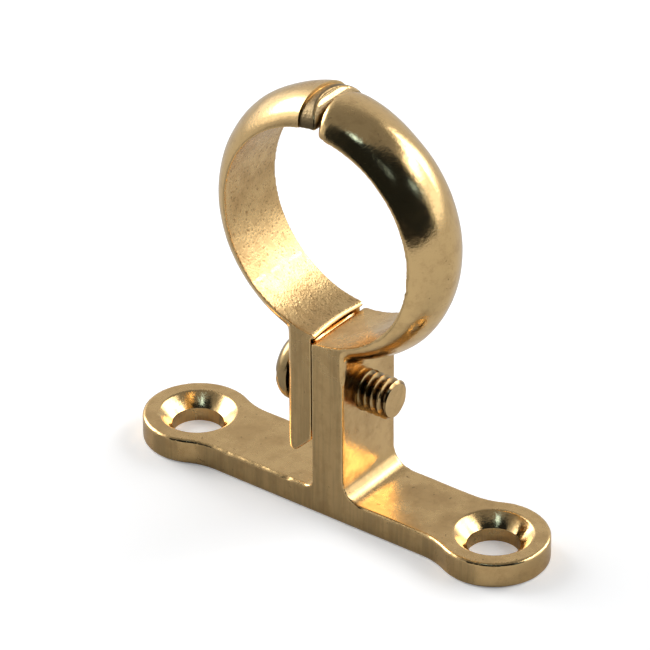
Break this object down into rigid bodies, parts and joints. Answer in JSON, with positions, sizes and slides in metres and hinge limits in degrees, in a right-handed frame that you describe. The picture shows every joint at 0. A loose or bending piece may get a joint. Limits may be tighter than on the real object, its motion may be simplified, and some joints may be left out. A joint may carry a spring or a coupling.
{
  "type": "pipe bracket",
  "caption": "Cast brass two-part pipe bracket that holds a pipe clear of a wall, with a hooked jaw closed by a clamp screw.",
  "frame": {"origin": "centre of the base plate's underside, midway between the two screw holes", "axes": "+Z out of the wall, +X along the base plate towards the fixed half ring, +Y along the pipe"},
  "size_m": [0.0588, 0.0138, 0.056],
  "materials": {
    "cast_brass": "cast and tumbled, then polished on the ring, with fine scratches and a few pits",
    "jaw_brass": "polished outside, rough as-cast grain on the bore",
    "screw_brass": "turned and threaded, bright"
  },
  "bodies": {
    "bracket": {"bracket_base": "cast_brass"},
    "jaw": {"clamp_jaw": "jaw_brass"},
    "screw": {"clamp_screw": "screw_brass"}
  },
  "joints": [
    {"name": "jaw_swing", "type": "hinge", "parent": "bracket", "child": "jaw", "pos_m": [0.00075, 0, 0.0536], "axis": [0, 1, 0], "range_deg": [0, 6]},
    {"name": "screw_travel", "type": "slide", "parent": "bracket", "child": "screw", "axis": [-1, 0, 0], "range_m": [0, 0.0043]}
  ],
  "couplings": [
    {"joint": "screw_travel", "follows": "jaw_swing", "m_per_rad": 0.0409}
  ]
}
